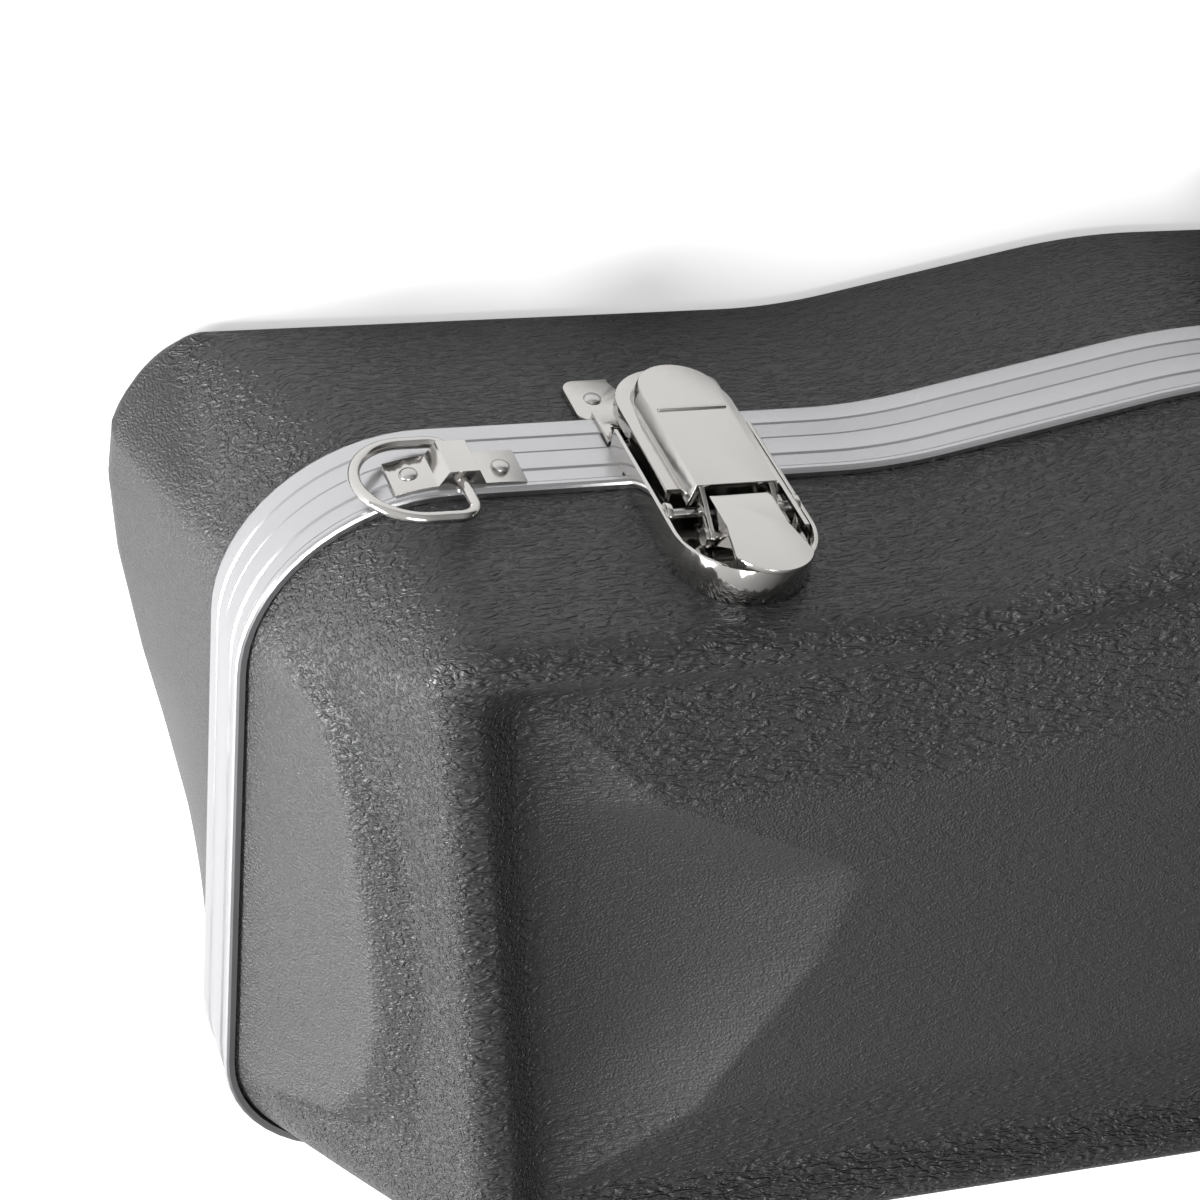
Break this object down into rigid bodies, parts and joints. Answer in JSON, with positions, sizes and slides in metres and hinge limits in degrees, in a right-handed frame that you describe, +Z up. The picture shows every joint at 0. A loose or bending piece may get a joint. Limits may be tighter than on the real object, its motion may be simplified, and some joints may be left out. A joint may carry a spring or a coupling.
{
  "type": "trumpet case",
  "caption": "Moulded trumpet case with a hinged lid, metal edge band, draw latches, strap rings and a hinged carry handle.",
  "frame": {"origin": "middle of the footprint, on the surface the case lies on, with the lid shut and the handle hanging", "axes": "+X towards the narrow end, +Y towards the hinge side, +Z up through the lid"},
  "size_m": [0.5863, 0.2911, 0.15],
  "materials": {
    "moulded_shell": "dark grained ABS, semi-matt",
    "aluminium_band": "drawn aluminium with fine lines",
    "plush_foam": "short plush over foam",
    "plated_steel": "bright nickel plate",
    "steel_pins": "plain steel",
    "rivets": "domed steel",
    "handle_plastic": "black moulded",
    "soft_grip": "soft black moulding",
    "rubber_feet": "matt black"
  },
  "bodies": {
    "base": {"base_shell": "moulded_shell", "base_valance": "aluminium_band", "base_insert": "plush_foam", "keeper_1": "plated_steel", "keeper_2": "plated_steel", "hinge_base_leaf_1": "plated_steel", "hinge_base_leaf_2": "plated_steel", "hinge_base_leaf_3": "plated_steel", "hinge_pin_1": "steel_pins", "hinge_pin_2": "steel_pins", "hinge_pin_3": "steel_pins", "handle_mounts": "plated_steel", "handle_pins": "steel_pins", "base_feet": "rubber_feet", "base_rivets": "rivets"},
    "lid": {"lid_shell": "moulded_shell", "lid_valance": "aluminium_band", "lid_insert_bell": "plush_foam", "lid_insert_valves": "plush_foam", "lid_insert_tubes": "plush_foam", "hinge_lid_leaf_1": "plated_steel", "hinge_lid_leaf_2": "plated_steel", "hinge_lid_leaf_3": "plated_steel", "latch_pan_1": "plated_steel", "latch_pan_2": "plated_steel", "latch_pivot_pin_1": "steel_pins", "latch_pivot_pin_2": "steel_pins", "strap_bracket_1": "plated_steel", "strap_bracket_2": "plated_steel", "lid_feet": "rubber_feet", "lid_rivets": "rivets"},
    "latch_lever_1": {"latch_lever_1": "plated_steel", "latch_link_pin_1": "steel_pins"},
    "latch_lever_2": {"latch_lever_2": "plated_steel", "latch_link_pin_2": "steel_pins"},
    "latch_hook_1": {"latch_hook_1": "plated_steel"},
    "latch_hook_2": {"latch_hook_2": "plated_steel"},
    "strap_ring_1": {"strap_ring_1": "plated_steel"},
    "strap_ring_2": {"strap_ring_2": "plated_steel"},
    "handle": {"handle_bail": "handle_plastic", "handle_grip": "soft_grip"}
  },
  "joints": [
    {"name": "lid_hinge", "type": "hinge", "parent": "base", "child": "lid", "pos_m": [0, 0.1407, 0.075], "axis": [-1, 0, 0], "range_deg": [0, 100]},
    {"name": "latch_lever_1_turn", "type": "hinge", "parent": "lid", "child": "latch_lever_1", "pos_m": [0.1713, -0.109, 0.1115], "axis": [1, 0, 0], "range_deg": [0, 90]},
    {"name": "latch_hook_1_swing", "type": "hinge", "parent": "latch_lever_1", "child": "latch_hook_1", "pos_m": [0.1713, -0.1084, 0.121], "axis": [1, 0, 0], "range_deg": [-90, 0]},
    {"name": "latch_lever_2_turn", "type": "hinge", "parent": "lid", "child": "latch_lever_2", "pos_m": [-0.1744, -0.13, 0.1115], "axis": [1, 0, 0], "range_deg": [0, 90]},
    {"name": "latch_hook_2_swing", "type": "hinge", "parent": "latch_lever_2", "child": "latch_hook_2", "pos_m": [-0.1744, -0.1294, 0.121], "axis": [1, 0, 0], "range_deg": [-90, 0]},
    {"name": "strap_ring_1_swing", "type": "hinge", "parent": "lid", "child": "strap_ring_1", "pos_m": [0.2358, -0.1062, 0.08715], "axis": [0, 0, -1], "range_deg": [0, 165]},
    {"name": "strap_ring_2_swing", "type": "hinge", "parent": "lid", "child": "strap_ring_2", "pos_m": [-0.2264, -0.1272, 0.08715], "axis": [0, 0, 1], "range_deg": [0, 165]},
    {"name": "handle_swing", "type": "hinge", "parent": "base", "child": "handle", "pos_m": [-0.0682, -0.136, 0.0685], "axis": [-1, 0, 0], "range_deg": [0, 150]}
  ],
  "couplings": [
    {"joint": "latch_hook_1_swing", "follows": "latch_lever_1_turn", "ratio": -1},
    {"joint": "latch_hook_2_swing", "follows": "latch_lever_2_turn", "ratio": -1}
  ]
}
